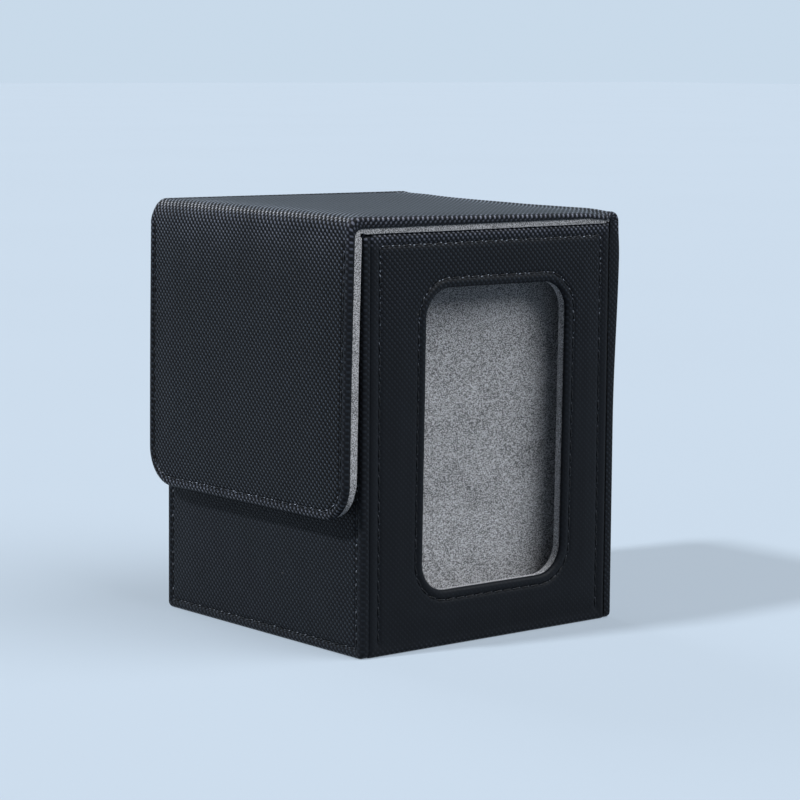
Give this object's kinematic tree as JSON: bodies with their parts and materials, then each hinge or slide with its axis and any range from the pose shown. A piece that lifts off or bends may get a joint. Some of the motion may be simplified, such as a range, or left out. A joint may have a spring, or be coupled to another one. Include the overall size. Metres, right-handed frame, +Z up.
{
  "type": "trading card storage box",
  "caption": "Upright leather-covered box for trading cards, with a hinged lid, a long front flap with hidden magnets, and a rounded display window in one side.",
  "frame": {"origin": "centre of the body's footprint, on the underside of the base; the flap stands proud of the footprint at the front", "axes": "+Z up, -Y out of the front where the flap closes, +Y towards the hinge side, +X out of the side with the display window"},
  "size_m": [0.0896, 0.0932, 0.1141],
  "materials": {
    "outer_leather": "satin",
    "lining_microfibre": "matte",
    "greyboard": "matte",
    "fold_foam": "matte",
    "sewing_thread": "satin",
    "magnet_metal": "polished"
  },
  "bodies": {
    "box": {"back_board": "greyboard", "back_lining": "lining_microfibre", "back_skin": "outer_leather", "back_stitching": "sewing_thread", "base_board": "greyboard", "base_lining": "lining_microfibre", "base_skin": "outer_leather", "front_board": "greyboard", "front_lining": "lining_microfibre", "front_magnets": "magnet_metal", "front_skin": "outer_leather", "front_stitching": "sewing_thread", "pocket_back": "lining_microfibre", "pocket_board": "greyboard", "pocket_face": "lining_microfibre", "rear_fold_core": "fold_foam", "rear_fold_lining": "lining_microfibre", "rear_fold_skin": "outer_leather", "side_board": "greyboard", "side_lining": "lining_microfibre", "side_skin": "outer_leather", "side_stitching": "sewing_thread", "window_board": "greyboard", "window_edge_stitching": "sewing_thread", "window_rim": "lining_microfibre", "window_ring_stitching": "sewing_thread", "window_skin": "outer_leather"},
    "lid": {"lid_skin": "outer_leather", "lid_board": "greyboard", "lid_lining": "lining_microfibre", "lid_stitching": "sewing_thread", "front_fold_skin": "outer_leather", "front_fold_core": "fold_foam", "front_fold_lining": "lining_microfibre"},
    "flap": {"flap_skin": "outer_leather", "flap_board": "greyboard", "flap_lining": "lining_microfibre", "flap_magnets": "magnet_metal", "flap_stitching": "sewing_thread"}
  },
  "joints": [
    {"name": "lid_hinge", "type": "hinge", "parent": "box", "child": "lid", "pos_m": [0, 0.04291, 0.11301], "axis": [-1, 0, 0], "range_deg": [0, 200], "deforming": ["rear_fold_skin", "rear_fold_core", "rear_fold_lining"]},
    {"name": "flap_hinge", "type": "hinge", "parent": "lid", "child": "flap", "pos_m": [0, -0.04734, 0.11224], "axis": [-1, 0, 0], "range_deg": [0, 180], "deforming": ["front_fold_skin", "front_fold_core", "front_fold_lining"]}
  ]
}
